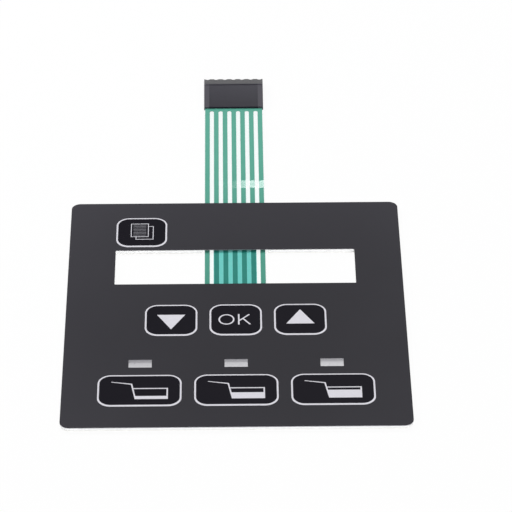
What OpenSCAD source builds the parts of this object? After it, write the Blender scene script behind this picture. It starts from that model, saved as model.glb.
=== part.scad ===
// Membrane keypad with a display window, seven keys and a flat tail that ends in a crimp connector.
// Frame: +X to the right, +Y towards the connector, +Z out of the printed face.
// The origin is the middle of the panel's rear face.

/* [Panel] */
// Width of the panel
panel_w = 91; // [88:1:110]
// Height of the panel
panel_h = 101; // [99:1:120]
// Radius of the panel's corners
panel_r = 2.5; // [1:0.5:5]
// How far the hidden layers stay back from the overlay's edge
layer_inset = 0.3; // [0.1:0.1:0.8]

/* [Display window] */
// Width of the display window
window_w = 65.5; // [50:0.5:68]
// Height of the display window
window_h = 16; // [12:0.5:17]
// Height of the window's middle above the panel's middle
window_y = 20; // [19:0.25:21]

/* [Keys] */
// Width of a small key over its ring
small_key_w = 14; // [12:0.1:15]
// Height of a small key over its ring
small_key_h = 13.9; // [12:0.1:15]
// Width of a wide key over its ring
wide_key_w = 21.9; // [16:0.1:24]
// Height of a wide key over its ring
wide_key_h = 13.3; // [12:0.1:15]
// Outer radius of a key ring's corners
key_r = 3.5; // [2:0.1:5]
// Width of the ring's line
ring_w = 0.45; // [0.3:0.05:1]
// How much wider the ring's line is at the key's lower side
ring_low = 0.25; // [0.05:0.05:0.5]
// Place of the upper key, to the left of the middle
upper_key_x = 25.75; // [24:0.25:27]
// Place of the upper key, above the middle
upper_key_y = 36.4; // [36:0.1:38]
// Place of the middle row of keys, below the middle
middle_row_y = 4.5; // [4:0.1:6]
// Distance from key to key in the middle row
middle_pitch = 17.25; // [16.5:0.25:18]
// Place of the lower row of keys, below the middle
lower_row_y = 35.1; // [34.5:0.1:36]
// Distance from key to key in the lower row
lower_pitch = 25.2; // [24.5:0.1:25.8]

/* [Lamp windows] */
// Width of a lamp window
lamp_w = 6.1; // [4:0.1:8]
// Height of a lamp window
lamp_h = 3.4; // [2:0.1:4.5]
// Place of the lamp windows, below the middle
lamp_y = 23.5; // [22.5:0.1:24]
// How much the well behind a lamp window is wider on each side
well_margin = 0.3; // [0.1:0.1:0.6]

/* [Layers] */
// Thickness of the release liner
liner_t = 0.12; // [0.05:0.01:0.2]
// Thickness of the rear adhesive
rear_adhesive_t = 0.13; // [0.05:0.01:0.2]
// Thickness of the circuit film
circuit_t = 0.15; // [0.1:0.01:0.2]
// Thickness of a printed silver track
track_t = 0.03; // [0.02:0.01:0.05]
// Thickness of the dome spacer
spacer_t = 0.53; // [0.5:0.01:0.7]
// Thickness of the face adhesive
face_adhesive_t = 0.1; // [0.05:0.01:0.2]
// Thickness of the overlay film
overlay_t = 0.2; // [0.12:0.01:0.3]
// Thickness of the print on the overlay's face
print_t = 0.04; // [0.02:0.01:0.06]

/* [Snap domes] */
// Diameter of a dome
dome_d = 8.5; // [8:0.1:9]
// Rise of a dome over its rim
dome_rise = 0.42; // [0.3:0.01:0.45]
// Thickness of the dome's sheet
dome_sheet = 0.06; // [0.05:0.01:0.08]
// Room round a dome in its spacer hole
dome_room = 0.6; // [0.4:0.1:0.8]

/* [Circuit] */
// Width of a track on the panel
track_w = 0.8; // [0.5:0.1:0.9]
// Step from track to track where the tail's lines fan out
fan_step = 1.6; // [1.5:0.05:1.8]
// Step from track to track beside the window
side_step = 2.4; // [2:0.1:2.5]
// Distance of the guard line from the panel's edge
guard_edge = 3; // [2.5:0.1:3.5]
// Radius of the pad under a dome's middle
pad_r = 1.5; // [1:0.1:2]
// Width of the ring pad under a dome's rim
rim_pad_w = 1; // [0.8:0.1:1.2]
// Gap on each side of a track that enters a ring pad
pad_gap = 0.6; // [0.4:0.1:0.8]
// Half length of the insulating pad at the crossover
cross_half = 1.3; // [1:0.1:1.5]
// Length of the bridge's feet at the crossover
cross_foot = 0.8; // [0.6:0.1:1]

/* [Tail] */
// Distance from line to line
line_pitch = 2.54; // [2.4:0.02:2.6]
// Width of a silver line on the tail
line_w = 1; // [0.8:0.05:1.1]
// Distance from the outer line's middle to the film's edge
film_margin = 0.88; // [0.75:0.01:0.95]
// Gap between the tail and the layers beside it
tail_gap = 0.5; // [0.3:0.1:1]
// Length of tail between the panel's upper edge and the connector
tail_free = 48.9; // [35:0.1:80]
// Width of the green cover over a line
cover_w = 1.35; // [1.25:0.05:1.45]
// Thickness of the green cover over the film
cover_t = 0.06; // [0.05:0.01:0.08]
// Length of the bar that joins the cover's stripes at the connector
cover_bar = 1.4; // [0.8:0.1:2]
// How far the patch runs on beyond the middle of the lines that it ends on
patch_margin = 0.82; // [0.75:0.01:1]
// Thickness of the patch
patch_t = 0.05; // [0.04:0.01:0.08]
// How far the patch runs on under the strip above the window
patch_tuck = 9; // [4:0.5:15]
// Distance from the panel's upper edge to the bend in the tail
bend_from = 8.3; // [4:0.1:15]
// Length of the bend
bend_l = 3.5; // [2:0.1:5]
// Height that the tail gains in the bend
bend_rise = 0.5; // [0.1:0.02:0.6]

/* [Connector] */
// Distance from the outer line's middle to the housing's side
housing_margin = 0.98; // [0.95:0.01:1.25]
// Length of the housing
housing_l = 14.6; // [13.5:0.1:18]
// Thickness of the housing before its lip
housing_t = 2.9; // [2.8:0.1:3.6]
// Thickness of the housing at the tail, over its underside's level
housing_tail_t = 1.65; // [1.6:0.05:2.4]
// How far the underside rises towards the tail
foot_rise = 0.5; // [0.3:0.05:0.55]
// Length of that rise
foot_l = 2.2; // [1.5:0.1:2.5]
// Length of the sloping lip at the mating end
lip_l = 3.8; // [3.2:0.1:4.4]
// How far the lip slopes down on its upper side
lip_drop = 1; // [0.95:0.01:1.05]
// How far the lip slopes up on its lower side
lip_rise = 0.4; // [0.3:0.05:0.5]
// Height of the pins' middle over the housing's underside
contact_z = 1.3; // [1.28:0.01:1.32]
// Length of the clamped end of the tail
crimp_l = 6; // [5.8:0.1:6.6]
// Radius of a pin mouth
mouth_r = 0.97; // [0.9:0.01:0.98]
// Depth of a pin mouth
mouth_l = 1.5; // [1.2:0.1:1.6]
// Side of a square pin hole
pin_hole = 0.75; // [0.7:0.01:0.8]
// Thickness of the wall between the pin mouths and the contacts
front_wall = 2; // [1.8:0.1:2.3]
// Depth of the shallow recess in the housing's broad faces
recess_t = 0.15; // [0.05:0.01:0.16]
// Width of the border beside the recess
recess_border = 1.6; // [1:0.1:2.5]
// Length of the border at the recess's two ends
recess_end = 0.6; // [0.4:0.1:1]
// Length of the upper recess's far end, which runs out to both sides
recess_cross = 1; // [0.6:0.1:1.5]
// Width of the cut along the housing's long edges
edge_cut = 0.3; // [0.2:0.05:0.4]

/* [Contacts] */
// Outer width and height of a contact's box
contact_box = 1.3; // [1.25:0.01:1.32]
// Thickness of a contact's sheet
contact_sheet = 0.2; // [0.15:0.01:0.22]
// Room above and beside a contact
contact_room = 0.1; // [0.05:0.01:0.12]
// Width of a tine along the tail
tine_l = 0.7; // [0.5:0.1:0.8]
// Distance from the tail's end to the nearer pair of tines
tine_end = 1.2; // [1:0.1:1.5]
// Distance between the two pairs of tines
tine_pitch = 1.8; // [1.4:0.1:2]
// How far a contact's plate runs on beyond its tines
plate_lead = 0.5; // [0.3:0.1:0.8]
// Room round the film in the housing
film_room = 0.05; // [0.03:0.01:0.08]

/* [Hidden] */
$fn = 96;
line_count = 7;
line_mid = (line_count - 1) / 2;
lines = [0:line_count - 1];
line_span = (line_count - 1) * line_pitch;
patch_span = (line_count - 3) * line_pitch;
tail_w = line_span + 2 * film_margin;
patch_w = patch_span + 2 * patch_margin;
housing_w = line_span + 2 * housing_margin;
past = 1;

// Names of the seven tail lines, in order from the left
line_upper_row = 0;
line_left_col = 1;
line_middle_row = 2;
line_mid_col = 3;
line_right_col = 4;
line_lower_row = 5;
line_guard = 6;

// Heights of the layers' undersides
rear_adhesive_z = liner_t;
circuit_z = rear_adhesive_z + rear_adhesive_t;
track_z = circuit_z + circuit_t;
face_adhesive_z = track_z + spacer_t;
overlay_z = face_adhesive_z + face_adhesive_t;
print_z = overlay_z + overlay_t;

// Edges of the display window
window_right = window_w / 2;
window_low = window_y - window_h / 2;
window_high = window_y + window_h / 2;

// Keys: name, middle and size over the ring
key_names = ["report", "down", "ok", "up", "low", "half", "full"];
upper_key = [-upper_key_x, upper_key_y];
middle_keys = [for (i = [-1:1]) [i * middle_pitch, -middle_row_y]];
lower_keys = [for (i = [-1:1]) [i * lower_pitch, -lower_row_y]];
key_places = concat([upper_key], middle_keys, lower_keys);
small_key = [small_key_w, small_key_h];
wide_key = [wide_key_w, wide_key_h];
key_sizes = [for (i = [0:6]) i < 4 ? small_key : wide_key];
lamp_places = [for (i = [-1:1]) [i * lower_pitch, -lamp_y]];

// Pads under the domes, and the domes' round
rim_pad_r = dome_d / 2 + rim_pad_w / 3;
dome_round = (pow(dome_d / 2, 2) + pow(dome_rise, 2)) / (2 * dome_rise);
dome_z = track_z + track_t;

// Where the tracks turn
fan_1 = window_low - fan_step;
fan_2 = window_low - 2 * fan_step;
fan_3 = window_low - 3 * fan_step;
fan_4 = window_low - 4 * fan_step;
side_1 = window_right + side_step;
side_2 = window_right + 2 * side_step;
guard_x = panel_w / 2 - guard_edge;
guard_y = panel_h / 2 - guard_edge;
trunk_x = lower_pitch + rim_pad_r + fan_step;
cross_at = [middle_pitch / 2, -middle_row_y];
below_middle = -middle_row_y - rim_pad_r - fan_step;
above_lower = -lower_row_y + rim_pad_r + fan_step;
below_lower = -lower_row_y - rim_pad_r - fan_step;
above_upper = upper_key_y + rim_pad_r + fan_step;
channel_x = tail_w / 2 + tail_gap;

// The connector and the tail's own line
housing_y = panel_h / 2 + tail_free;
mating_y = housing_y + housing_l;
lip_y = mating_y - lip_l;
housing_slope = atan((housing_t - housing_tail_t) / (housing_l - lip_l));
floor_z = contact_z - contact_box / 2;
entry_z = floor_z + contact_sheet;
split_z = entry_z - film_room;
tail_end = housing_y + crimp_l;
bend_y = panel_h / 2 + bend_from;
ramp_y = bend_y + bend_l;
ramp_end = housing_y - cover_bar;
bend_steps = 12;
ramp_steps = 12;
tail_ys = concat(
    [window_low, panel_h / 2],
    [for (i = [0:bend_steps]) bend_y + bend_l * i / bend_steps],
    [for (i = [1:ramp_steps]) ramp_y + (ramp_end - ramp_y) * i / ramp_steps],
    [tail_end]);
cover_end = housing_y;
cover_z = track_t + cover_t;
box_y = tail_end + contact_sheet;
box_l = mating_y - front_wall - box_y;
tine_ys = [for (i = [0, 1]) tail_end - tine_end - i * tine_pitch];
tine_x = contact_box / 2 - contact_sheet / 2;
plate_y = min(tine_ys) - tine_l / 2 - plate_lead;
cap_z = entry_z + circuit_t + track_t;

function line_x(i) = (i - line_mid) * line_pitch;

// A smooth step from 0 to 1
function ease(t) = let (s = min(max(t, 0), 1)) s * s * (3 - 2 * s);

// Height of the tail's underside along its length: flat, a short bend, then a long ramp to the connector
function tail_z(y) = circuit_z
    + bend_rise * ease((y - bend_y) / bend_l)
    + (entry_z - circuit_z - bend_rise) * ease((y - ramp_y) / (ramp_end - ramp_y));

// A rectangle with round corners
module round_rect(size, r) {
    square([size.x - 2 * r, size.y], center = true);
    square([size.x, size.y - 2 * r], center = true);
    for (x = [-1, 1], y = [-1, 1])
        translate([x * (size.x / 2 - r), y * (size.y / 2 - r)])
            circle(r);
}

// A track of constant width through a list of points
module track(points, w = track_w) {
    for (i = [0:len(points) - 2]) {
        span = points[i + 1] - points[i];
        translate(points[i])
            rotate(atan2(span.y, span.x))
                translate([0, -w / 2])
                    square([norm(span), w]);
    }
    for (p = points)
        translate(p)
            circle(d = w);
}

module window_shape() {
    translate([0, window_y])
        square([window_w, window_h], center = true);
}

module lamp_shapes(margin) {
    for (p = lamp_places)
        translate(p)
            square([lamp_w + 2 * margin, lamp_h + 2 * margin], center = true);
}

// The keys' outlines over their rings
module key_shapes() {
    for (i = [0:6])
        translate(key_places[i])
            round_rect(key_sizes[i], key_r);
}

// The fields inside the rings, a little above the keys' middles
module field_shapes() {
    for (i = [0:6])
        translate(key_places[i] + [0, ring_low / 2])
            round_rect(key_sizes[i] - [2 * ring_w, 2 * ring_w + ring_low], key_r - ring_w);
}

module overlay_shape() {
    difference() {
        round_rect([panel_w, panel_h], panel_r);
        window_shape();
    }
}

// The channel that lets the tail pass under the strip above the window
module channel_shape() {
    translate([-channel_x, window_high - past])
        square([2 * channel_x, panel_h / 2 - window_high + 2 * past]);
}

// The outline that all hidden layers share
module layer_shape() {
    difference() {
        round_rect([panel_w - 2 * layer_inset, panel_h - 2 * layer_inset], panel_r - layer_inset);
        window_shape();
        channel_shape();
        lamp_shapes(well_margin);
    }
}

// A ring pad, open on one side for the track to the middle pad
module ring_pad(turn) {
    difference() {
        circle(rim_pad_r);
        circle(rim_pad_r - rim_pad_w);
        rotate(turn)
            translate([0, -track_w / 2 - pad_gap])
                square([rim_pad_r + past, track_w + 2 * pad_gap]);
    }
}

module pad_pair(place, turn) {
    translate(place) {
        circle(pad_r);
        ring_pad(turn);
    }
}

// The rows join the ring pads, the columns join the middle pads, and the guard line runs round the panel
module panel_tracks() {
    pad_pair(upper_key, 90);
    pad_pair(middle_keys[0], 180);
    pad_pair(middle_keys[1], -90);
    pad_pair(middle_keys[2], 0);
    pad_pair(lower_keys[0], 180);
    pad_pair(lower_keys[1], 90);
    pad_pair(lower_keys[2], 0);
    rim = [rim_pad_r - rim_pad_w / 2, 0];
    root = window_low;
    upper_x = line_x(line_upper_row);
    track([[upper_x, root], [upper_x, fan_1], [-side_1, fan_1], [-side_1, upper_key.y], upper_key - rim]);
    left_x = line_x(line_left_col);
    track([[left_x, root], [left_x, fan_2], [-side_2, fan_2], [-side_2, above_upper],
        [upper_key.x, above_upper], upper_key]);
    track([[-trunk_x, fan_2], [-trunk_x, lower_keys[0].y], lower_keys[0]]);
    track([[-trunk_x, middle_keys[0].y], middle_keys[0]]);
    row_x = line_x(line_middle_row);
    track([[row_x, root], [row_x, middle_keys[1].y + sqrt(pow(rim.x, 2) - pow(row_x, 2))]]);
    track([middle_keys[0] + rim, middle_keys[1] - rim]);
    track([middle_keys[1] + rim, middle_keys[2] - rim]);
    mid_x = line_x(line_mid_col);
    track([[mid_x, root], [mid_x, fan_4], [cross_at.x, fan_4], cross_at + [0, cross_half + cross_foot]]);
    track([cross_at - [0, cross_half + cross_foot], [cross_at.x, above_lower],
        [0, above_lower], lower_keys[1]]);
    track([[cross_at.x, below_middle], [0, below_middle], middle_keys[1]]);
    right_x = line_x(line_right_col);
    track([[right_x, root], [right_x, fan_3], [trunk_x, fan_3],
        [trunk_x, lower_keys[2].y], lower_keys[2]]);
    track([[trunk_x, middle_keys[2].y], middle_keys[2]]);
    low_x = line_x(line_lower_row);
    track([[low_x, root], [low_x, fan_2], [side_1, fan_2], [side_1, below_lower],
        [lower_keys[2].x, below_lower], lower_keys[2] - [0, rim.x]]);
    track([lower_keys[0] + rim, lower_keys[1] - rim]);
    track([lower_keys[1] + rim, lower_keys[2] - rim]);
    guard_line_x = line_x(line_guard);
    track([[guard_line_x, root], [guard_line_x, fan_1], [guard_x, fan_1], [guard_x, -guard_y],
        [-guard_x, -guard_y], [-guard_x, guard_y], [-channel_x - guard_edge, guard_y]]);
}

// One layer of the tail: a strip of the tail's own side view, at a height over the film's underside
module tail_layer(over, t, w) {
    low = [for (y = tail_ys) [y, tail_z(y) + over]];
    high = [for (i = [len(tail_ys) - 1:-1:0]) low[i] + [0, t]];
    translate([-w / 2, 0, 0])
        rotate([90, 0, 90])
            linear_extrude(w)
                polygon(concat(low, high));
}

// The slots that the contacts' tines cut through the tail
module tine_slots() {
    for (i = lines, y = tine_ys, side = [-1, 1])
        translate([line_x(i) + side * tine_x, y, entry_z + circuit_t / 2])
            cube([contact_sheet, tine_l, 2 * circuit_t], center = true);
}

module dome(i) {
    color("silver")
        translate([key_places[i].x, key_places[i].y, 0])
            rotate_extrude()
                intersection() {
                    translate([0, dome_z + dome_rise - dome_round])
                        difference() {
                            circle(dome_round, $fn = 720);
                            circle(dome_round - dome_sheet, $fn = 720);
                        }
                    translate([0, dome_z])
                        square([dome_d, dome_rise + past]);
                }
}

module overlay_film() {
    color("gainsboro", 0.2)
        translate([0, 0, overlay_z])
            linear_extrude(overlay_t)
                overlay_shape();
}

module background_print() {
    color([0.24, 0.24, 0.26])
        translate([0, 0, print_z])
            linear_extrude(print_t)
                difference() {
                    overlay_shape();
                    key_shapes();
                    lamp_shapes(0);
                }
}

module key_fields() {
    color([0.08, 0.07, 0.11])
        translate([0, 0, print_z])
            linear_extrude(print_t)
                field_shapes();
}

module key_rings() {
    color([0.84, 0.84, 0.86])
        translate([0, 0, print_z])
            linear_extrude(print_t)
                difference() {
                    key_shapes();
                    field_shapes();
                }
}

module face_adhesive() {
    color("whitesmoke")
        translate([0, 0, face_adhesive_z])
            linear_extrude(face_adhesive_t)
                layer_shape();
}

module dome_spacer() {
    color("white")
        difference() {
            translate([0, 0, track_z])
                linear_extrude(spacer_t)
                    difference() {
                        layer_shape();
                        for (p = key_places)
                            translate(p)
                                circle(dome_d / 2 + dome_room);
                    }
            translate([0, 0, track_z])
                linear_extrude(track_t)
                    panel_tracks();
            cross_pad_block();
            cross_bridge_block();
        }
}

module circuit_tracks() {
    color([0.75, 0.76, 0.76]) {
        translate([0, 0, track_z])
            linear_extrude(track_t)
                panel_tracks();
        difference() {
            for (i = lines)
                translate([line_x(i), 0, 0])
                    tail_layer(circuit_t, track_t, line_w);
            tine_slots();
        }
    }
}

// The insulating pad covers the row's track where the column crosses it
module cross_pad_block() {
    translate([cross_at.x - cross_half, cross_at.y - cross_half, track_z])
        cube([2 * cross_half, 2 * cross_half, 2 * track_t]);
}

// The bridge stands on the column's two ends and runs over the pad
module cross_bridge_block() {
    half = cross_half + cross_foot;
    translate([cross_at.x - track_w / 2, cross_at.y - half, track_z + 2 * track_t])
        cube([track_w, 2 * half, track_t]);
    for (side = [0, 1])
        translate([cross_at.x - track_w / 2, cross_at.y, track_z + track_t])
            mirror([0, side, 0])
                translate([0, cross_half, 0])
                    cube([track_w, cross_foot, 2 * track_t]);
}

module crossover_pad() {
    color("mediumseagreen")
        difference() {
            cross_pad_block();
            translate([0, 0, track_z])
                linear_extrude(track_t)
                    panel_tracks();
        }
}

module crossover_bridge() {
    color([0.75, 0.76, 0.76])
        cross_bridge_block();
}

module circuit_film() {
    color("azure", 0.5)
        difference() {
            union() {
                translate([0, 0, circuit_z])
                    linear_extrude(circuit_t)
                        layer_shape();
                tail_layer(0, circuit_t, tail_w);
            }
            tine_slots();
        }
}

// The cover is a comb: a stripe over each line, joined by a bar at the connector, with round slot ends
module cover_comb() {
    for (i = lines)
        translate([line_x(i) - cover_w / 2, window_low])
            square([cover_w, cover_end - window_low]);
    bar_w = line_span + cover_w;
    slot_r = (line_pitch - cover_w) / 2;
    difference() {
        translate([-bar_w / 2, cover_end - cover_bar - slot_r])
            square([bar_w, cover_bar + slot_r]);
        for (i = [0:line_count - 2])
            translate([(line_x(i) + line_x(i + 1)) / 2, cover_end - cover_bar - slot_r])
                circle(slot_r);
    }
}

module tail_cover() {
    color([0.31, 0.62, 0.54])
        difference() {
            intersection() {
                tail_layer(circuit_t, cover_z, tail_w);
                linear_extrude(housing_t)
                    cover_comb();
            }
            for (i = lines)
                translate([line_x(i), 0, 0])
                    tail_layer(circuit_t, track_t, line_w);
        }
}

module tail_patch() {
    color([0.47, 0.84, 0.81], 0.6)
        translate([-patch_w / 2, window_low, track_z + cover_z])
            cube([patch_w, window_h + patch_tuck, patch_t]);
}

module rear_adhesive() {
    color("whitesmoke")
        translate([0, 0, rear_adhesive_z])
            linear_extrude(rear_adhesive_t)
                layer_shape();
}

module release_liner() {
    color("cornsilk")
        linear_extrude(liner_t)
            layer_shape();
}

// Height of the housing's upper face, which rises from the tail to the lip
function housing_top(y) = housing_tail_t
    + (housing_t - housing_tail_t) * (y - housing_y) / (lip_y - housing_y);

// The housing's side view, tapered to the tail and with a sloping lip at the mating end
module housing_side() {
    polygon([
        [housing_y, foot_rise],
        [housing_y + foot_l, 0],
        [lip_y, 0],
        [mating_y, lip_rise],
        [mating_y, housing_t - lip_drop],
        [lip_y, housing_t],
        [housing_y, housing_tail_t]]);
}

// Side view of the shallow recess in the upper face, up to the border at the lip
module recess_side(near) {
    far = lip_y - recess_end;
    polygon([
        [near, housing_top(near) - recess_t],
        [far, housing_top(far) - recess_t],
        [far, housing_t + past],
        [near, housing_t + past]]);
}

// A side view as a solid of some width, across the middle
module across(w) {
    translate([-w / 2, 0, 0])
        rotate([90, 0, 90])
            linear_extrude(w)
                children();
}

// What the slanted cuts take off the housing's long edges
module edge_cuts() {
    cut = edge_cut * sqrt(2);
    for (side = [-1, 1]) {
        translate([side * housing_w / 2, housing_y, housing_tail_t])
            rotate([housing_slope, 0, 0])
                rotate([0, 45, 0])
                    cube([cut, 3 * housing_l, cut], center = true);
        translate([side * housing_w / 2, housing_y, 0])
            rotate([0, 45, 0])
                cube([cut, 3 * housing_l, cut], center = true);
    }
}

// Room for one contact: its crimped end, its box, the pin hole and the cone of the pin mouth
module contact_cavity(i) {
    room_w = contact_box + 2 * contact_room;
    crimp_top = cap_z + contact_sheet + contact_room;
    translate([line_x(i) - room_w / 2, plate_y - contact_room, floor_z])
        cube([room_w, box_y - plate_y + contact_room, crimp_top - floor_z]);
    translate([line_x(i) - room_w / 2, box_y - contact_room, floor_z])
        cube([room_w, box_l + contact_room, contact_box + contact_room]);
    translate([line_x(i) - pin_hole / 2, mating_y - front_wall - past, contact_z - pin_hole / 2])
        cube([pin_hole, front_wall + 2 * past, pin_hole]);
    translate([line_x(i), mating_y, contact_z])
        rotate([90, 0, 0])
            cylinder(r1 = mouth_r, r2 = pin_hole / 2, h = mouth_l);
}

// Both shells of the housing in one
module housing_body() {
    recess_l = housing_l - lip_l - 2 * recess_end;
    recess_w = housing_w - 2 * recess_border;
    slot_t = circuit_t + cover_z + 2 * film_room;
    difference() {
        across(housing_w)
            housing_side();
        edge_cuts();
        for (i = lines)
            contact_cavity(i);
        translate([-housing_w / 2 - past, housing_y - past, split_z])
            cube([housing_w + 2 * past, crimp_l + film_room + past, slot_t]);
        across(recess_w)
            recess_side(housing_y + recess_end);
        across(housing_w + 2 * past)
            recess_side(lip_y - recess_end - recess_cross);
        translate([-recess_w / 2, housing_y + recess_end, -past])
            cube([recess_w, recess_l, recess_t + past]);
    }
}

// The shells part at the film's underside, so that the crimped tail can be laid in
module connector_base() {
    color([0.2, 0.2, 0.22])
        intersection() {
            housing_body();
            translate([-housing_w, housing_y - past, -past])
                cube([2 * housing_w, housing_l + 2 * past, split_z + past]);
        }
}

module connector_cover() {
    color([0.2, 0.2, 0.22])
        intersection() {
            housing_body();
            translate([-housing_w, housing_y - past, split_z])
                cube([2 * housing_w, housing_l + 2 * past, housing_t]);
        }
}

// A contact: a box for the pin, and a plate under the tail with four tines that pierce it and fold over
module contact(i) {
    inner = contact_box - 2 * contact_sheet;
    color("silver")
        translate([line_x(i), 0, 0]) {
            difference() {
                translate([-contact_box / 2, box_y, floor_z])
                    cube([contact_box, box_l, contact_box]);
                translate([-inner / 2, box_y - past, floor_z + contact_sheet])
                    cube([inner, box_l + 2 * past, inner]);
            }
            translate([-contact_box / 2, plate_y, floor_z])
                cube([contact_box, box_y - plate_y, contact_sheet]);
            for (y = tine_ys, side = [-1, 1]) {
                translate([side * tine_x - contact_sheet / 2, y - tine_l / 2, entry_z])
                    cube([contact_sheet, tine_l, cap_z - entry_z]);
                translate([side * contact_box / 4 - contact_box / 4, y - tine_l / 2, cap_z])
                    cube([contact_box / 2, tine_l, contact_sheet]);
            }
        }
}

overlay_film();
background_print();
key_fields();
key_rings();
face_adhesive();
dome_spacer();
for (i = [0:6])
    dome(i);
circuit_tracks();
crossover_pad();
crossover_bridge();
circuit_film();
tail_cover();
tail_patch();
rear_adhesive();
release_liner();
connector_base();
connector_cover();
for (i = lines)
    contact(i);
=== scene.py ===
import math

import bmesh
import bpy
from mathutils import Matrix, Vector


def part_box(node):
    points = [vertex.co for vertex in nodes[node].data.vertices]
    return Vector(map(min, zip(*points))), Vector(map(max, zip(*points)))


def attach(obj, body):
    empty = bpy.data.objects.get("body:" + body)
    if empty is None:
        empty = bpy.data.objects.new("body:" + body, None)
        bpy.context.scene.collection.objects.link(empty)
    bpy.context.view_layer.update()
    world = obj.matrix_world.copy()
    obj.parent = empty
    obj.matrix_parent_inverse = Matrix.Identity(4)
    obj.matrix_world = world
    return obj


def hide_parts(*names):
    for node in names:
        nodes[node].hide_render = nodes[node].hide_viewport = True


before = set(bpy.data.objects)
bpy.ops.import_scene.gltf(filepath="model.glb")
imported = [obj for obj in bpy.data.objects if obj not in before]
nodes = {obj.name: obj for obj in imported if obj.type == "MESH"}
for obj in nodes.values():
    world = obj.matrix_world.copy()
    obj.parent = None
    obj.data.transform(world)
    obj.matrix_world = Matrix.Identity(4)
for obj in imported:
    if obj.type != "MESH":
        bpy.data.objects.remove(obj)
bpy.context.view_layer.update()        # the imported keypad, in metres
scene = bpy.context.scene
mm = 0.001
print("frame loaded with", len(nodes), "nodes")


# Shader sums

class Wire:
    # one output socket of a shader tree, so that sums on it add their Math nodes
    def __init__(self, tree, socket=None):
        self.tree = tree
        self.socket = socket

    def node(self, kind, settings=None, sockets=None, out=0):
        made = self.tree.nodes.new(kind)
        for key, value in (settings or {}).items():
            setattr(made, key, value)
        for key, value in (sockets or {}).items():
            if isinstance(value, Wire):
                self.tree.links.new(value.socket, made.inputs[key])
            else:
                made.inputs[key].default_value = value
        return Wire(self.tree, made.outputs[out] if made.outputs else None)

    def maths(self, operation, first, second):
        return self.node("ShaderNodeMath", {"operation": operation}, {0: first, 1: second})

    def __add__(self, other):
        return self.maths("ADD", self, other)

    def __radd__(self, other):
        return self.maths("ADD", other, self)

    def __sub__(self, other):
        return self.maths("SUBTRACT", self, other)

    def __rsub__(self, other):
        return self.maths("SUBTRACT", other, self)

    def __mul__(self, other):
        return self.maths("MULTIPLY", self, other)

    def __rmul__(self, other):
        return self.maths("MULTIPLY", other, self)


def linear(*srgb):
    # 0 to 255 as read off a screen, to the linear colour that a shader takes
    part = [c / 255 for c in srgb]
    return tuple(c / 12.92 if c <= 0.04045 else ((c + 0.055) / 1.055) ** 2.4 for c in part) + (1,)


def newFinish(name):
    mat = bpy.data.materials.new(name)
    mat.use_nodes = True
    mat.node_tree.nodes.clear()
    return mat, Wire(mat.node_tree)


def output(tree, shader):
    tree.node("ShaderNodeOutputMaterial", None, {"Surface": shader})


def surface(tree, sockets):
    # the one shader that each of the keypad's own finishes has
    output(tree, tree.node("ShaderNodeBsdfPrincipled", None, sockets))


def noise(tree, grain, detail=2.0, rough=0.5, stretch=(1, 1, 1)):
    # grain is the size of a speck in metres, and a stretch below 1 makes it longer along that axis
    place = tree.node("ShaderNodeTexCoord", None, None, "Object")
    turned = tree.node("ShaderNodeMapping", None, {"Vector": place, "Scale": stretch})
    return tree.node("ShaderNodeTexNoise", None,
                     {"Vector": turned, "Scale": 1 / grain, "Detail": detail, "Roughness": rough})


def along(tree, axis):
    # a place in metres along one axis of the frame
    place = tree.node("ShaderNodeTexCoord", None, None, "Object")
    return tree.node("ShaderNodeSeparateXYZ", None, {"Vector": place}, axis)


def around(middle, wire, spread):
    # a value that sways with a noise, whose own middle is 0.5
    return middle + (wire - 0.5) * spread


def blend(tree, amount, low, high):
    # from one colour to the other, each a wire or a colour as read off a screen
    ends = [c if isinstance(c, Wire) else linear(*c) for c in (low, high)]
    return tree.node("ShaderNodeMix", {"data_type": "RGBA"}, {"Factor": amount, 6: ends[0], 7: ends[1]}, 2)


def bump(tree, height, depth, strength):
    return tree.node("ShaderNodeBump", None, {"Height": height, "Distance": depth, "Strength": strength})


def wear(name, finish):
    # gives a node's object, or a piece, its finish
    thing = nodes[name] if isinstance(name, str) else name
    thing.data.materials.clear()
    thing.data.materials.append(finish)


# Printed face

facePrint = {
    "dark": (42, 41, 46),
    "light": (62, 61, 67),
    "grain": 0.22 * mm,        # specks of the matt print
    "grainShare": 0.35,
    "drift": 26 * mm,          # slow change of tone over the panel
    "driftShare": 0.2,
    "paintedLightUpward": (0.14, 0.24),    # painted light: lighter towards the top, evenly and more at the edges
    "paintedLightLeftward": (0.11, 0.22),
    "deeper": 0.1,             # taken off the tone all over
    "rough": 0.6,
    "roughSpread": 0.18,
    "gloss": 0.1,
    "depth": 0.006 * mm,
    "relief": 0.6,
}


def faceFinish():
    mat, tree = newFinish("greyPrint")
    specks = noise(tree, facePrint["grain"], detail=3, rough=0.6)
    drift = noise(tree, facePrint["drift"], detail=1)
    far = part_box("background_print")[1]
    u = along(tree, "X") * (-1 / far.x)
    v = along(tree, "Y") * (1 / far.y)
    # painted light: the print is painted lighter towards the top and the left, more so near those edges
    lift = v * (facePrint["paintedLightUpward"][0] + v * facePrint["paintedLightUpward"][1])
    lift = lift + u * (facePrint["paintedLightLeftward"][0] + u * facePrint["paintedLightLeftward"][1])
    tone = specks * facePrint["grainShare"] + drift * facePrint["driftShare"] + lift - facePrint["deeper"]
    surface(tree, {
        "Base Color": blend(tree, tone, facePrint["dark"], facePrint["light"]),
        "Roughness": around(facePrint["rough"], specks, facePrint["roughSpread"]),
        "Specular IOR Level": facePrint["gloss"],
        "Normal": bump(tree, specks, facePrint["depth"], facePrint["relief"]),
    })
    return mat


keyPrint = {
    "dark": (14, 12, 20),
    "light": (22, 20, 29),
    "grain": 0.18 * mm,
    "rough": 0.5,
    "roughSpread": 0.16,
    "gloss": 0.04,
    "depth": 0.004 * mm,
    "relief": 0.5,
}
linePrint = dict(keyPrint, dark=(204, 202, 210), light=(224, 223, 230), grain=0.3 * mm, rough=0.55, gloss=0.1)
finePrint = dict(linePrint, dark=(124, 123, 129), light=(138, 137, 144))   # thin white on black, for text


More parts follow.
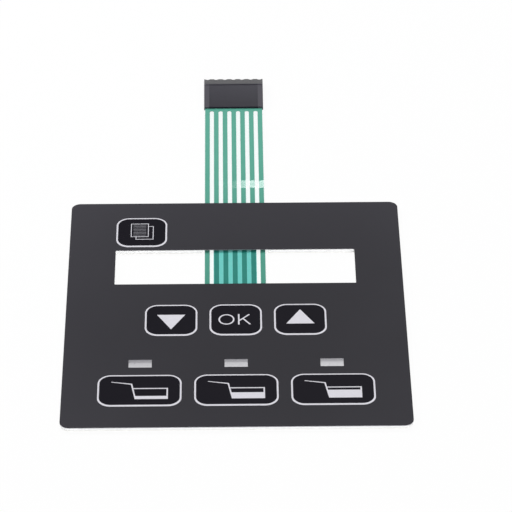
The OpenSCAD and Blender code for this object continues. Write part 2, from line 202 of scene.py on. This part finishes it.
def inkFinish(name, ink):
    mat, tree = newFinish(name)
    specks = noise(tree, ink["grain"], detail=3, rough=0.6)
    surface(tree, {
        "Base Color": blend(tree, specks, ink["dark"], ink["light"]),
        "Roughness": around(ink["rough"], specks, ink["roughSpread"]),
        "Specular IOR Level": ink["gloss"],
        "Normal": bump(tree, specks, ink["depth"], ink["relief"]),
    })
    return mat


# Films and adhesives

clearFilm = {
    "tint": (205, 255, 252),
    "alpha": 0.07,
    "alphaSpread": 0.014,
    "cutTint": (250, 252, 251),
    "cutAlpha": 0.9,           # inside the panel only cut edges show, and those look milky
    "border": 0.5 * mm,        # the tail's film ends this far from its green lines
    "cloud": 3 * mm,
    "rough": 0.06,
    "roughSpread": 0.036,
    "drop": 0.005 * mm,
}


def clearFinish():
    mat, tree = newFinish("clearFilm")
    cloud = noise(tree, clearFilm["cloud"], detail=3)
    x = along(tree, "X")
    coverLow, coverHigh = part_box("tail_cover")
    beside = tree.maths("GREATER_THAN", x * x, (coverHigh.x + clearFilm["border"]) ** 2)
    before = tree.maths("LESS_THAN", along(tree, "Y"), coverLow.y - clearFilm["border"])
    inside = tree.maths("MAXIMUM", beside, before)
    alpha = around(clearFilm["alpha"], cloud, clearFilm["alphaSpread"])
    surface(tree, {
        "Base Color": blend(tree, inside, clearFilm["tint"], clearFilm["cutTint"]),
        "Roughness": around(clearFilm["rough"], cloud, clearFilm["roughSpread"]),
        "Alpha": alpha + inside * clearFilm["cutAlpha"],
    })
    return mat


adhesive = {
    "dark": (248, 249, 247),
    "light": (253, 253, 252),
    "cloud": 1.5 * mm,
    "rough": 0.4,
    "roughSpread": 0.15,
    "depth": 0.01 * mm,
    "relief": 0.3,
}
spacer = dict(adhesive, dark=(249, 250, 250), light=(254, 254, 254), cloud=4 * mm, rough=0.35)


def layerFinish(name, layer):
    # opaque inner layers: a plain tone with a little cloud in it
    mat, tree = newFinish(name)
    cloud = noise(tree, layer["cloud"], detail=4)
    surface(tree, {
        "Base Color": blend(tree, cloud, layer["dark"], layer["light"]),
        "Roughness": around(layer["rough"], cloud, layer["roughSpread"]),
        "Normal": bump(tree, cloud, layer["depth"], layer["relief"]),
    })
    return mat


lampFilm = {
    # painted shade: the film is painted darker at the top of each lamp window, where the well's far wall
    # shades it, and lighter at its foot
    "top": (147, 146, 153),
    "foot": (191, 190, 196),
    "shadedAt": -21.8 * mm,
    "litAt": -25.2 * mm,
    "cloud": 1.2 * mm,
    "toneSpread": 0.2,
    "alpha": 0.55,
    "alphaSpread": 0.08,
    "rough": 0.3,
    "roughSpread": 0.2,
}


def overlayFinish():
    # the bare film over the lamps is milky, with painted shade that makes it darker at the far side of each
    # well
    mat, tree = newFinish("overlayFilmPaintedShade")
    cloud = noise(tree, lampFilm["cloud"], detail=3)
    down = (along(tree, "Y") - lampFilm["shadedAt"]) * (1 / (lampFilm["litAt"] - lampFilm["shadedAt"]))
    tone = around(down, cloud, lampFilm["toneSpread"])
    surface(tree, {
        "Base Color": blend(tree, tone, lampFilm["top"], lampFilm["foot"]),
        "Roughness": around(lampFilm["rough"], cloud, lampFilm["roughSpread"]),
        "Alpha": around(lampFilm["alpha"], cloud, lampFilm["alphaSpread"]),
    })
    return mat


linerPaper = {
    "dark": (245, 242, 235),
    "light": (252, 250, 245),
    "fibre": 0.9 * mm,
    "fibreStretch": (1, 0.35, 1),
    "fibreShare": 0.6,
    "cloud": 9 * mm,
    "cloudShare": 0.4,
    "rough": 0.6,
    "roughSpread": 0.2,
    "depth": 0.012 * mm,
    "relief": 0.5,
}


def paperFinish():
    mat, tree = newFinish("linerPaper")
    fibres = noise(tree, linerPaper["fibre"], detail=6, rough=0.65, stretch=linerPaper["fibreStretch"])
    clouds = noise(tree, linerPaper["cloud"])
    tone = fibres * linerPaper["fibreShare"] + clouds * linerPaper["cloudShare"]
    surface(tree, {
        "Base Color": blend(tree, tone, linerPaper["dark"], linerPaper["light"]),
        "Roughness": around(linerPaper["rough"], fibres, linerPaper["roughSpread"]),
        "Normal": bump(tree, fibres, linerPaper["depth"], linerPaper["relief"]),
    })
    return mat


# Tail

tailGreen = {
    "dark": (66, 140, 122),
    "light": (101, 177, 157),
    "streak": 1.1 * mm,
    "streakStretch": (2.5, 0.25, 1),
    "streakShare": 0.4,
    "speck": 0.2 * mm,
    "speckShare": 0.15,
    "near": 10 * mm,           # painted shade: the tail is painted darkest here, where it lies under the panel, and lightest here, towards the connector
    "far": 75 * mm,
    "paintedShadeShare": 0.45,
    "rough": 0.05,
    "roughSpread": 0.01,
    "gloss": 0.39,
}


def coverFinish():
    mat, tree = newFinish("tailGreen")
    streaks = noise(tree, tailGreen["streak"], detail=4, rough=0.6, stretch=tailGreen["streakStretch"])
    specks = noise(tree, tailGreen["speck"])
    # painted shade: the green is painted darker where the tail lies under the panel and lighter towards the
    # connector
    away = (along(tree, "Y") - tailGreen["near"]) * (1 / (tailGreen["far"] - tailGreen["near"]))
    away = tree.maths("MINIMUM", away, 1)
    tone = streaks * tailGreen["streakShare"] + specks * tailGreen["speckShare"]
    tone = tone + away * tailGreen["paintedShadeShare"]
    surface(tree, {
        "Base Color": blend(tree, tone, tailGreen["dark"], tailGreen["light"]),
        "Roughness": around(tailGreen["rough"], specks, tailGreen["roughSpread"]),
        "Specular IOR Level": tailGreen["gloss"],
    })
    return mat


tailPatch = {
    "gap": (108, 214, 206),    # where the strip lies on clear film
    "line": (48, 144, 132),    # where it lies on a covered line
    "lines": 7,                # all the tail's lines, from the first contact to the last
    "lineShare": 0.53,         # share of the pitch that a covered line takes
    "cloud": 3 * mm,
    "alpha": 0.8,
    "alphaSpread": 0.1,
    "rough": 0.1,
    "roughSpread": 0.05,
}


def patchFinish():
    # the strip is see-through, so it looks lighter between the lines than on them
    mat, tree = newFinish("greenTint")
    first = sum(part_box("contact_1"), Vector()) / 2
    last = sum(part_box("contact_7"), Vector()) / 2
    pitch = (last.x - first.x) / (tailPatch["lines"] - 1)
    place = (along(tree, "X") - first.x) * (1 / pitch)
    turn = tree.maths("FRACT", place + 0.5, 0) - 0.5        # 0 along the middle of a line
    onLine = tree.maths("LESS_THAN", turn * turn, (tailPatch["lineShare"] / 2) ** 2)
    cloud = noise(tree, tailPatch["cloud"], detail=3)
    surface(tree, {
        "Base Color": blend(tree, onLine, tailPatch["gap"], tailPatch["line"]),
        "Roughness": around(tailPatch["rough"], cloud, tailPatch["roughSpread"]),
        "Alpha": around(tailPatch["alpha"], cloud, tailPatch["alphaSpread"]),
    })
    return mat


# Metals and mouldings

silverInk = {
    "dark": (150, 151, 150),
    "light": (186, 187, 186),
    "grain": 0.5 * mm,
    "stretch": (0.2, 3, 1),
    "rough": 0.5,
    "roughSpread": 0.15,
    "depth": 0.002 * mm,
    "relief": 0.4,
}
domeSteel = dict(silverInk, dark=(170, 170, 168), light=(205, 205, 203), grain=0.3 * mm, rough=0.28)
contactTin = dict(silverInk, dark=(168, 166, 160), light=(200, 198, 190), grain=0.3 * mm, rough=0.4)


def metalFinish(name, metal):
    mat, tree = newFinish(name)
    brushed = noise(tree, metal["grain"], detail=4, rough=0.6, stretch=metal["stretch"])
    surface(tree, {
        "Base Color": blend(tree, brushed, metal["dark"], metal["light"]),
        "Metallic": 1.0,
        "Roughness": around(metal["rough"], brushed, metal["roughSpread"]),
        "Normal": bump(tree, brushed, metal["depth"], metal["relief"]),
    })
    return mat


moulding = {
    "dark": (19, 16, 29),
    "light": (59, 58, 67),
    "grain": 0.16 * mm,
    "grainShare": 0.15,
    "flow": 5 * mm,
    "flowStretch": (0.4, 1.6, 1),
    "flowShare": 0.25,
    "footShadeShare": 0.6,          # painted shade: the tone grows from the foot to the lip, darker towards the foot
    "rim": (80, 78, 86),       # the smoother border beside the recess, painted lighter as its sheen
    "rimSheenShare": 0.6,
    "rimWidth": 1.5 * mm,
    "lip": (85, 85, 86),       # the lip is smoother still, and painted lighter still as its sheen
    "lipSheenShare": 0.7,
    "lipLength": 4.1 * mm,
    "rough": 0.42,
    "roughSpread": 0.2,
    "gloss": 0.13,
    "depth": 0.01 * mm,
    "relief": 0.5,
}


def mouldedFinish():
    mat, tree = newFinish("blackMoulding")
    spark = noise(tree, moulding["grain"], detail=3, rough=0.6)
    flow = noise(tree, moulding["flow"], stretch=moulding["flowStretch"])
    x = along(tree, "X")
    near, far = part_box("connector_cover")
    rise = (along(tree, "Y") - near.y) * (1 / (far.y - moulding["lipLength"] - near.y))
    raised = tree.maths("GREATER_THAN", x * x, (far.x - moulding["rimWidth"]) ** 2)
    sloped = tree.maths("GREATER_THAN", along(tree, "Y"), far.y - moulding["lipLength"])
    # painted shade: the body is painted darker towards the foot
    tone = spark * moulding["grainShare"] + flow * moulding["flowShare"] + rise * moulding["footShadeShare"]
    body = blend(tree, tone, moulding["dark"], moulding["light"])
    # painted sheen: the border beside the recess and the lip are painted lighter
    bodyWithRimSheen = blend(tree, raised * moulding["rimSheenShare"], body, moulding["rim"])
    surface(tree, {
        "Base Color": blend(tree, sloped * moulding["lipSheenShare"], bodyWithRimSheen, moulding["lip"]),
        "Roughness": around(moulding["rough"], spark, moulding["roughSpread"]),
        "Specular IOR Level": moulding["gloss"],
        "Normal": bump(tree, spark, moulding["depth"], moulding["relief"]),
    })
    return mat


finishes = {
    "grey": faceFinish(),
    "black": inkFinish("blackPrint", keyPrint),
    "white": inkFinish("whitePrint", linePrint),
    "fine": inkFinish("finePrint", finePrint),
    "overlay": overlayFinish(),
    "clear": clearFinish(),
    "patch": patchFinish(),
    "adhesive": layerFinish("adhesiveLayer", adhesive),
    "spacer": layerFinish("spacerFilm", spacer),
    "paper": paperFinish(),
    "green": coverFinish(),
    "silver": metalFinish("silverPrint", silverInk),
    "steel": metalFinish("domeSteel", domeSteel),
    "tin": metalFinish("contactMetal", contactTin),
    "moulded": mouldedFinish(),
}
wearing = {
    "overlay_film": "overlay",
    "background_print": "grey",
    "key_fields": "black",
    "key_rings": "white",
    "face_adhesive": "adhesive",
    "rear_adhesive": "adhesive",
    "dome_spacer": "spacer",
    "circuit_tracks": "silver",
    "crossover_bridge": "silver",
    "crossover_pad": "green",
    "circuit_film": "clear",
    "tail_cover": "green",
    "tail_patch": "patch",
    "release_liner": "paper",
    "connector_base": "moulded",
    "connector_cover": "moulded",
}
for name in nodes:
    if name.startswith("dome_") and name != "dome_spacer":
        wear(name, finishes["steel"])
    elif name.startswith("contact_"):
        wear(name, finishes["tin"])
    else:
        wear(name, finishes[wearing[name]])


def layFilm():
    # the film lies a hair lower than its solid, so that the lines printed on it look clean from below
    film = bpy.data.objects.new("tail_film", nodes["circuit_film"].data.copy())
    film.data.transform(Matrix.Translation((0, 0, -clearFilm["drop"])))
    scene.collection.objects.link(film)
    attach(film, "root")
    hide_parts("circuit_film")


layFilm()
print("finishes:", len(finishes))


# Legends

legend = {
    "lift": 0.02 * mm,          # ink that stands over the key's field
    "line": 0.38,               # all that follows is in millimetres, from the key's middle
    "triangleHalf": 3.78,
    "downTop": 2.45,
    "downTip": -4.05,
    "upBase": -1.88,
    "upTip": 4.5,
    "letterMid": 0.18,
    "letterHalf": 2.3,
    "letterLine": 0.41,
    "roundMid": -2.48,
    "roundHalf": 2.14,
    "stemX": 0.82,
    "armTop": (3.65, 2.4),
    "armRoot": (0.82, -0.5),
    "legFrom": 0.38,            # share of the arm where the leg branches off
    "legEnd": (3.86, -2.05),
    "sheetLow": (-3.03, -2.1),
    "sheetHigh": (1.9, 4.25),
    "sheetShift": (1.35, -1.25),
    "sheetLine": 0.21,
    "textRows": 8,
    "textLow": -1.3,
    "textStep": 0.7,
    "textLine": 0.2,
    "textSide": 0.68,
    "handleEnd": (-7.4, 3.72),
    "handleTaper": 0.6,         # the handle is thinner at its free end
    "handleRoot": (-2.1, 2.76),
    "trayFoot": (-1.0, -3.58),
    "trayRight": 7.42,
    "trayTop": 0.88,
    "fills": {"low": -2.3, "half": -1.05, "full": -0.28},
}


def crossing(a, aWay, b, bWay):
    # where two lines meet, each given by a point and a direction
    spread = aWay.x * bWay.y - aWay.y * bWay.x
    gap = b - a
    return a + aWay * ((gap.x * bWay.y - gap.y * bWay.x) / spread)


def side(direction, width):
    # half a line's width, to the left of its direction
    return Vector((-direction.y, direction.x)).normalized() * (width / 2)


def strokeOutline(points, width):
    # a closed outline of constant width along an open line, with mitred corners and flat ends
    points = [Vector(p) for p in points]
    steps = [b - a for a, b in zip(points, points[1:])]
    edges = []
    for sign in (1, -1):
        edge = [points[0] + side(steps[0], width) * sign]
        for p, before, after in zip(points[1:], steps, steps[1:]):
            first = p + side(before, width) * sign
            second = p + side(after, width) * sign
            edge.append(crossing(first, before, second, after))
        edge.append(points[-1] + side(steps[-1], width) * sign)
        edges.append(edge)
    return edges[0] + edges[1][::-1]


def boxOutline(low, high, inset=0.0):
    return [(low[0] + inset, low[1] + inset), (high[0] - inset, low[1] + inset),
            (high[0] - inset, high[1] - inset), (low[0] + inset, high[1] - inset)]


def ovalOutline(x, y, halfW, halfH, steps=72):
    turns = [2 * math.pi * i / steps for i in range(steps)]
    return [(x + halfW * math.cos(t), y + halfH * math.sin(t)) for t in turns]


def letterK():
    # the stem, the arm from the stem to the upper right, and the leg that branches off the arm
    w = legend["letterLine"]
    low = legend["letterMid"] - legend["letterHalf"]
    high = legend["letterMid"] + legend["letterHalf"]
    left = legend["stemX"] - w / 2
    right = legend["stemX"] + w / 2
    up = Vector((0, 1))
    root = Vector(legend["armRoot"])
    top = Vector(legend["armTop"])
    arm = top - root
    armSide = side(arm, w)
    branch = root + arm * legend["legFrom"]
    foot = Vector(legend["legEnd"])
    leg = foot - branch
    legSide = side(leg, w)
    stemRight = Vector((right, 0))
    return [
        (left, low), (left, high), (right, high),
        crossing(stemRight, up, root + armSide, arm),
        top + armSide, top - armSide,
        crossing(root - armSide, arm, branch + legSide, leg),
        foot + legSide, foot - legSide,
        crossing(root - armSide, arm, branch - legSide, leg),
        crossing(stemRight, up, root - armSide, arm),
        (right, low),
    ]


def trayShapes(fillTop):
    # a handled tray seen from the side, as one outline with the empty part left open
    w = legend["line"]
    end = Vector(legend["handleEnd"])
    root = Vector(legend["handleRoot"])
    foot = Vector(legend["trayFoot"])
    handle = root - end
    wall = foot - root
    rim = Vector((0, legend["trayTop"]))
    flat = Vector((1, 0))
    handleSide = side(handle, w)
    wallSide = side(wall, w)
    right = legend["trayRight"]
    outer = [
        end + handleSide * legend["handleTaper"],
        crossing(end + handleSide, handle, root + wallSide, wall),
        crossing(root + wallSide, wall, rim + Vector((0, w / 2)), flat),
        (right, rim.y + w / 2),
        (right, foot.y),
        crossing(root - wallSide, wall, foot, flat),
        crossing(end - handleSide, handle, root - wallSide, wall),
        end - handleSide * legend["handleTaper"],
    ]
    empty = [
        crossing(root + wallSide, wall, rim - Vector((0, w / 2)), flat),
        (right - w, rim.y - w / 2),
        (right - w, fillTop),
        crossing(root + wallSide, wall, Vector((0, fillTop)), flat),
    ]
    return [outer, empty]


def sheetShapes():
    # a sheet, and apart from it the lower right of a second one that it covers
    w = legend["sheetLine"]
    low = Vector(legend["sheetLow"])
    high = Vector(legend["sheetHigh"])
    shift = Vector(legend["sheetShift"])
    front = [boxOutline(low, high), boxOutline(low, high, w)]
    rearLow = low + shift + Vector((w / 2, w / 2))
    rearHigh = high + shift - Vector((w / 2, w / 2))
    corner = (rearHigh.x, rearLow.y)
    rear = strokeOutline([(high.x, rearHigh.y), rearHigh, corner, rearLow, (rearLow.x, low.y)], w)
    return front, [rear]


def textShapes():
    left = legend["sheetLow"][0] + legend["textSide"]
    right = legend["sheetHigh"][0] - legend["textSide"]
    rows = [legend["textLow"] + legend["textStep"] * i for i in range(legend["textRows"])]
    return [strokeOutline([(left, y), (right, y)], legend["textLine"]) for y in rows]


def letterShapes():
    w = legend["letterLine"]
    x, y = legend["roundMid"], legend["letterMid"]
    halfW, halfH = legend["roundHalf"], legend["letterHalf"]
    return [ovalOutline(x, y, halfW, halfH), ovalOutline(x, y, halfW - w, halfH - w), letterK()]


def triangleShapes(base, tip):
    half = legend["triangleHalf"]
    return [[(-half, base), (half, base), (0, tip)]]


def inkMesh(name, shapes):
    # outlines become a filled flat curve, whose inner outlines are holes, and then a thin solid of ink
    curve = bpy.data.curves.new(name, "CURVE")
    curve.dimensions = "2D"
    curve.fill_mode = "BOTH"
    curve.extrude = legend["lift"] / 2
    for outline in shapes:
        spline = curve.splines.new("POLY")
        spline.points.add(len(outline) - 1)
        for point, (x, y) in zip(spline.points, outline):
            point.co = (x, y, 0, 1)
        spline.use_cyclic_u = True
    drawn = bpy.data.objects.new(name, curve)
    scene.collection.objects.link(drawn)
    bpy.context.view_layer.update()
    graph = bpy.context.evaluated_depsgraph_get()
    mesh = bpy.data.meshes.new_from_object(drawn.evaluated_get(graph))
    bpy.data.objects.remove(drawn)
    return mesh


def printLegend(name, key, finish, *groups):
    # each group of outlines is filled by itself, so that groups may touch
    ink = bmesh.new()
    for shapes in groups:
        ink.from_mesh(inkMesh("drawn_" + name, shapes))
    low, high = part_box("dome_" + key)
    middle = (low + high) / 2
    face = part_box("key_fields")[1].z
    bmesh.ops.scale(ink, vec=(mm, mm, 1), verts=ink.verts)
    bmesh.ops.translate(ink, vec=(middle.x, middle.y, face + legend["lift"] / 2), verts=ink.verts)
    mesh = bpy.data.meshes.new("legend_" + name)
    ink.to_mesh(mesh)
    ink.free()
    piece = bpy.data.objects.new("legend_" + name, mesh)
    scene.collection.objects.link(piece)
    wear(piece, finishes[finish])
    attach(piece, "root")


printLegend("report", "report", "white", *sheetShapes())
printLegend("text", "report", "fine", textShapes())
printLegend("down", "down", "white", triangleShapes(legend["downTop"], legend["downTip"]))
printLegend("ok", "ok", "white", letterShapes())
printLegend("up", "up", "white", triangleShapes(legend["upBase"], legend["upTip"]))
for key, fillTop in legend["fills"].items():
    printLegend(key, key, "white", trayShapes(fillTop))
print("legends printed")


# Table, light and camera

table = {
    "half": 1.6,
    "rise": 0.5,
    "colour": (244, 244, 245),
    "glow": 0.93,              # share of plain white that the camera sees on the table
    "cloud": 60 * mm,
    "rough": 0.8,
    "roughSpread": 0.1,
    "gloss": 0.1,
}


def layTable():
    # a sheet of paper that turns up at the back
    mesh = bpy.data.meshes.new("table")
    half = table["half"]
    rise = table["rise"]
    corners = [(-half, -half, 0), (half, -half, 0), (half, half, 0), (-half, half, 0),
               (half, half, rise), (-half, half, rise)]
    mesh.from_pydata(corners, [], [(0, 1, 2, 3), (3, 2, 4, 5)])
    floor = bpy.data.objects.new("table", mesh)
    scene.collection.objects.link(floor)
    mat, tree = newFinish("tablePaper")
    cloud = noise(tree, table["cloud"], detail=3)
    matt = tree.node("ShaderNodeBsdfPrincipled", None, {
        "Base Color": linear(*table["colour"]),
        "Roughness": around(table["rough"], cloud, table["roughSpread"]),
        "Specular IOR Level": table["gloss"],
    })
    white = tree.node("ShaderNodeEmission", None, {"Color": (1, 1, 1, 1), "Strength": 1.0})
    seen = tree.node("ShaderNodeLightPath", None, None, "Is Camera Ray")
    glossy = tree.node("ShaderNodeLightPath", None, None, "Is Glossy Ray")
    through = tree.node("ShaderNodeLightPath", None, None, "Is Transmission Ray")
    amount = (seen + glossy + through) * table["glow"]
    output(tree, tree.node("ShaderNodeMixShader", None, {0: amount, 1: matt, 2: white}))
    wear(floor, mat)


lamps = {
    "left": {"at": (-0.5, 0.3, 0.45), "to": (0, 0.03, 0), "size": (0.5, 0.5), "watts": 2.2},
    "front": {"at": (0.2, -0.9, 0.5), "to": (0, 0.03, 0), "size": (0.8, 0.8), "watts": 6.9},
    "back": {"at": (0.155, 0.68, 0.84), "to": (0.155, 0.03, 0), "size": (0.3, 0.41), "watts": 4.4},
}
room = {"colour": (1, 1, 1, 1), "strength": 0.28}


def hangLamps():
    for name, lamp in lamps.items():
        light = bpy.data.lights.new(name + "Lamp", "AREA")
        light.shape = "RECTANGLE"
        light.size, light.size_y = lamp["size"]
        light.energy = lamp["watts"]
        holder = bpy.data.objects.new(name + "Lamp", light)
        holder.location = lamp["at"]
        shine = Vector(lamp["to"]) - holder.location
        holder.rotation_euler = shine.to_track_quat("-Z", "Y").to_euler()
        scene.collection.objects.link(holder)
    world = bpy.data.worlds.new("studio")
    scene.world = world
    world.use_nodes = True
    world.node_tree.nodes.clear()
    tree = Wire(world.node_tree)
    soft = tree.node("ShaderNodeBackground", None, {"Color": room["colour"], "Strength": room["strength"]})
    white = tree.node("ShaderNodeBackground", None, {"Color": (1, 1, 1, 1), "Strength": 1.0})
    seen = tree.node("ShaderNodeLightPath", None, None, "Is Camera Ray")
    tree.node("ShaderNodeOutputWorld", None, {
        "Surface": tree.node("ShaderNodeMixShader", None, {0: seen, 1: soft, 2: white})})


view = {
    "slope": 35.46,            # degrees down to the table
    "turn": 0.53,              # degrees to the right of straight ahead
    "tilt": -0.14,             # degrees that the picture is turned
    "aim": (5.73, 24.79, 1.27),  # millimetres, the point in the middle of the picture
    "reach": 939.0,            # millimetres from the lens to that point
    "focus": 3426.0,           # pixels of a picture 512 wide
    "picture": 512,
    "sensor": 36.0,
    "clipEnd": 20,             # metres
}


def standCamera():
    camera = bpy.data.cameras.new("photoCamera")
    camera.sensor_width = view["sensor"]
    camera.lens = view["focus"] / view["picture"] * view["sensor"]
    camera.clip_end = view["clipEnd"]
    holder = bpy.data.objects.new("photoCamera", camera)
    slope = math.radians(view["slope"])
    turn = math.radians(view["turn"])
    level = math.cos(slope)
    ahead = Vector((math.sin(turn) * level, math.cos(turn) * level, -math.sin(slope)))
    spin = Matrix.Rotation(math.radians(view["tilt"]), 4, "Z")
    facing = ahead.to_track_quat("-Z", "Y").to_matrix().to_4x4()
    place = Vector(view["aim"]) * mm - ahead * view["reach"] * mm
    holder.matrix_world = Matrix.Translation(place) @ facing @ spin
    scene.collection.objects.link(holder)
    scene.camera = holder


layTable()
hangLamps()
standCamera()
scene.view_settings.view_transform = "Standard"
print("table, lamps and camera set")
